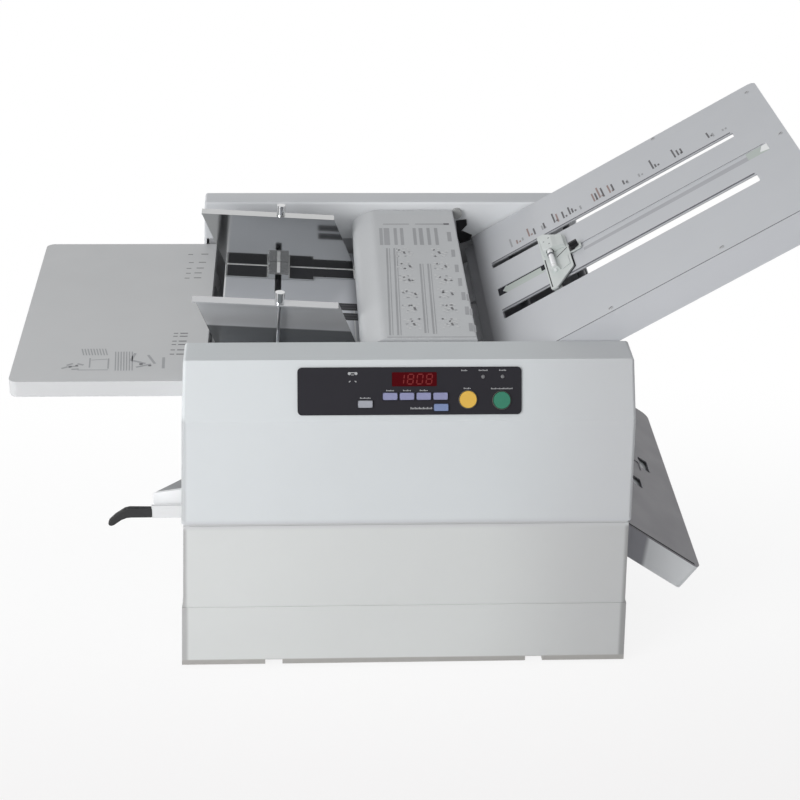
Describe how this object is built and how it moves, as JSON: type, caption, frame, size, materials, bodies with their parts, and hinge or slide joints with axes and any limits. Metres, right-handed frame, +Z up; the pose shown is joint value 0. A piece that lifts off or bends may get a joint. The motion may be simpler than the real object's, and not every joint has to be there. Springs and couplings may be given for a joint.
{
  "type": "paper folding machine",
  "caption": "Desktop buckle-folding machine with feed tray, side guides, sloping upper and lower fold plates, hinged centre cover and front key panel.",
  "frame": {"origin": "middle of the machine's overall footprint, on the desk", "axes": "+Z up, +X from the feed tray towards the fold plates, -Y towards the operator"},
  "size_m": [0.9144, 0.5044, 0.559],
  "materials": {
    "cover_plastic": "fine moulded grain",
    "painted_sheet": "satin light grey",
    "tray_sheet": "satin light grey",
    "plated_steel": "zinc plated",
    "polished_steel": "polished",
    "chrome": "polished",
    "panel_overlay": "dark film",
    "display": "tinted window",
    "grey_key": "moulded",
    "lavender_key": "moulded",
    "blue_key": "moulded",
    "yellow_key": "moulded",
    "green_key": "moulded",
    "black_plastic": "moulded",
    "rubber": "matt",
    "feed_rubber": "ground",
    "gear_plastic": "natural nylon",
    "board": "solder resist"
  },
  "bodies": {
    "chassis": {"base_plate": "plated_steel", "front_side_frame": "plated_steel", "rear_side_frame": "plated_steel", "tie_rods": "plated_steel", "upper_front_cover": "cover_plastic", "lower_front_cover": "cover_plastic", "rear_cover": "cover_plastic", "left_panel": "painted_sheet", "right_panel": "painted_sheet", "control_panel": "panel_overlay", "display_window": "display", "circuit_boards": "board", "rubber_feet": "rubber", "drive_motor": "black_plastic", "power_inlet": "black_plastic", "roller_bearings": "plated_steel", "exit_chute": "painted_sheet", "separator_block": "plated_steel", "drive_belt": "rubber", "feed_belt": "rubber"},
    "tray": {"outer_tray": "tray_sheet"},
    "table": {"paper_table": "polished_steel", "friction_pads": "feed_rubber"},
    "front_guide": {"front_side_guide": "polished_steel"},
    "rear_guide": {"rear_side_guide": "polished_steel"},
    "front_knob": {"front_guide_knob": "chrome"},
    "rear_knob": {"rear_guide_knob": "chrome"},
    "lever": {"lever_arm": "plated_steel", "lever_grip": "black_plastic", "lifter_shaft": "plated_steel"},
    "feed": {"feed_roller": "feed_rubber", "feed_pulley": "gear_plastic"},
    "main_roller": {"fold_roller_main": "polished_steel", "fold_gear_main": "gear_plastic"},
    "upper_roller": {"fold_roller_upper": "polished_steel", "fold_gear_upper": "gear_plastic"},
    "right_roller": {"fold_roller_right": "polished_steel", "fold_gear_right": "gear_plastic"},
    "lower_roller": {"fold_roller_lower": "polished_steel", "fold_gear_lower": "gear_plastic"},
    "motor_drive": {"motor_pulley": "plated_steel"},
    "lid": {"centre_cover": "cover_plastic"},
    "upper_plate": {"upper_plate_sheet": "painted_sheet", "upper_plate_frame": "painted_sheet"},
    "lower_plate": {"lower_plate_sheet": "painted_sheet", "lower_plate_frame": "painted_sheet"},
    "upper_carriage": {"upper_stop": "plated_steel"},
    "upper_trim": {"upper_stop_bar": "chrome"},
    "upper_lock": {"upper_stop_knob": "black_plastic"},
    "lower_carriage": {"lower_stop": "plated_steel"},
    "switch": {"power_switch": "black_plastic"},
    "pressure": {"pressure_knob": "black_plastic"},
    "select_key": {"select_key": "grey_key"},
    "mode_key_1": {"mode_key_1": "lavender_key"},
    "mode_key_2": {"mode_key_2": "lavender_key"},
    "mode_key_3": {"mode_key_3": "lavender_key"},
    "mode_key_4": {"mode_key_4": "lavender_key"},
    "set_key": {"set_key": "blue_key"},
    "stop_key": {"stop_key": "yellow_key"},
    "start_key": {"start_key": "green_key"}
  },
  "joints": [
    {"name": "tray_lift_off", "type": "slide", "parent": "chassis", "child": "tray", "axis": [-0.342, 0, 0.9397], "range_m": [0, 0.04]},
    {"name": "table_tilt", "type": "hinge", "parent": "chassis", "child": "table", "pos_m": [-0.22077, 0.01525, 0.32363], "axis": [0, -1, 0], "range_deg": [0, 5.01]},
    {"name": "front_guide_slide", "type": "slide", "parent": "table", "child": "front_guide", "axis": [0, 1, 0], "range_m": [-0.04, 0.055]},
    {"name": "rear_guide_slide", "type": "slide", "parent": "table", "child": "rear_guide", "axis": [0, 1, 0], "range_m": [-0.075, 0.015]},
    {"name": "front_guide_clamp", "type": "hinge", "parent": "front_guide", "child": "front_knob", "pos_m": [-0.16027, -0.10425, 0.33076], "axis": [0.0558, 0, 0.9984], "range_deg": [0, 180]},
    {"name": "rear_guide_clamp", "type": "hinge", "parent": "rear_guide", "child": "rear_knob", "pos_m": [-0.16027, 0.15875, 0.33076], "axis": [0.0558, 0, 0.9984], "range_deg": [0, 180]},
    {"name": "table_lever_turn", "type": "hinge", "parent": "chassis", "child": "lever", "pos_m": [-0.16417, 0.01525, 0.296], "axis": [0, -1, 0], "range_deg": [0, 8.7]},
    {"name": "main_roller_spin", "type": "hinge", "parent": "chassis", "child": "main_roller", "pos_m": [0.05333, 0.01525, 0.3], "axis": [0, 1, 0], "continuous": true},
    {"name": "upper_roller_spin", "type": "hinge", "parent": "chassis", "child": "upper_roller", "pos_m": [0.04462, 0.01525, 0.33493], "axis": [0, 1, 0], "continuous": true},
    {"name": "right_roller_spin", "type": "hinge", "parent": "chassis", "child": "right_roller", "pos_m": [0.08919, 0.01525, 0.29686], "axis": [0, 1, 0], "continuous": true},
    {"name": "lower_roller_spin", "type": "hinge", "parent": "chassis", "child": "lower_roller", "pos_m": [0.04708, 0.01525, 0.26455], "axis": [0, 1, 0], "continuous": true},
    {"name": "feed_roller_spin", "type": "hinge", "parent": "chassis", "child": "feed", "pos_m": [-0.03817, 0.01525, 0.358], "axis": [0, 1, 0], "continuous": true},
    {"name": "motor_spin", "type": "hinge", "parent": "chassis", "child": "motor_drive", "pos_m": [-0.05417, 0.01525, 0.08], "axis": [0, 1, 0], "continuous": true},
    {"name": "centre_cover_open", "type": "hinge", "parent": "chassis", "child": "lid", "pos_m": [0.05983, 0.01525, 0.357], "axis": [0, 1, 0], "range_deg": [0, 75]},
    {"name": "upper_plate_lift_off", "type": "slide", "parent": "chassis", "child": "upper_plate", "axis": [0.8545, 0, 0.5195], "range_m": [0, 0.06]},
    {"name": "lower_plate_pull_off", "type": "slide", "parent": "chassis", "child": "lower_plate", "axis": [0.8211, 0, -0.5707], "range_m": [0, 0.06]},
    {"name": "upper_stop_slide", "type": "slide", "parent": "upper_plate", "child": "upper_carriage", "axis": [0.8545, 0, 0.5195], "range_m": [-0.055, 0.235]},
    {"name": "upper_stop_trim", "type": "hinge", "parent": "upper_carriage", "child": "upper_trim", "pos_m": [0.16855, 0.02175, 0.40233], "axis": [0, 1, 0], "continuous": true},
    {"name": "upper_stop_clamp", "type": "hinge", "parent": "upper_carriage", "child": "upper_lock", "pos_m": [0.19751, 0.02175, 0.41245], "axis": [-0.5195, 0, 0.8545], "range_deg": [0, 90]},
    {"name": "lower_stop_slide", "type": "slide", "parent": "lower_plate", "child": "lower_carriage", "axis": [0.8211, 0, -0.5707], "range_m": [-0.038, 0.125]},
    {"name": "power_switch_rock", "type": "hinge", "parent": "chassis", "child": "switch", "pos_m": [0.16583, 0.24775, 0.079], "axis": [0, 0, 1], "range_deg": [0, 15]},
    {"name": "pressure_knob_turn", "type": "hinge", "parent": "chassis", "child": "pressure", "pos_m": [0.06983, 0.21175, 0.381], "axis": [0, 1, 0], "range_deg": [-150, 150]},
    {"name": "select_key_press", "type": "slide", "parent": "chassis", "child": "select_key", "axis": [0, 0.9088, -0.4172], "range_m": [0, 0.0012], "stiffness_N_per_m": 1200},
    {"name": "mode_key_1_press", "type": "slide", "parent": "chassis", "child": "mode_key_1", "axis": [0, 0.9088, -0.4172], "range_m": [0, 0.0012], "stiffness_N_per_m": 1200},
    {"name": "mode_key_2_press", "type": "slide", "parent": "chassis", "child": "mode_key_2", "axis": [0, 0.9088, -0.4172], "range_m": [0, 0.0012], "stiffness_N_per_m": 1200},
    {"name": "mode_key_3_press", "type": "slide", "parent": "chassis", "child": "mode_key_3", "axis": [0, 0.9088, -0.4172], "range_m": [0, 0.0012], "stiffness_N_per_m": 1200},
    {"name": "mode_key_4_press", "type": "slide", "parent": "chassis", "child": "mode_key_4", "axis": [0, 0.9088, -0.4172], "range_m": [0, 0.0012], "stiffness_N_per_m": 1200},
    {"name": "set_key_press", "type": "slide", "parent": "chassis", "child": "set_key", "axis": [0, 0.9088, -0.4172], "range_m": [0, 0.0012], "stiffness_N_per_m": 1200},
    {"name": "stop_key_press", "type": "slide", "parent": "chassis", "child": "stop_key", "axis": [0, 0.9088, -0.4172], "range_m": [0, 0.0012], "stiffness_N_per_m": 1200},
    {"name": "start_key_press", "type": "slide", "parent": "chassis", "child": "start_key", "axis": [0, 0.9088, -0.4172], "range_m": [0, 0.0012], "stiffness_N_per_m": 1200}
  ],
  "couplings": [
    {"joint": "upper_roller_spin", "follows": "main_roller_spin", "ratio": -1},
    {"joint": "right_roller_spin", "follows": "main_roller_spin", "ratio": -1},
    {"joint": "lower_roller_spin", "follows": "main_roller_spin", "ratio": -1},
    {"joint": "feed_roller_spin", "follows": "main_roller_spin", "ratio": -1},
    {"joint": "motor_spin", "follows": "main_roller_spin", "ratio": 1.5},
    {"joint": "table_tilt", "follows": "table_lever_turn", "ratio": 0.5699}
  ]
}
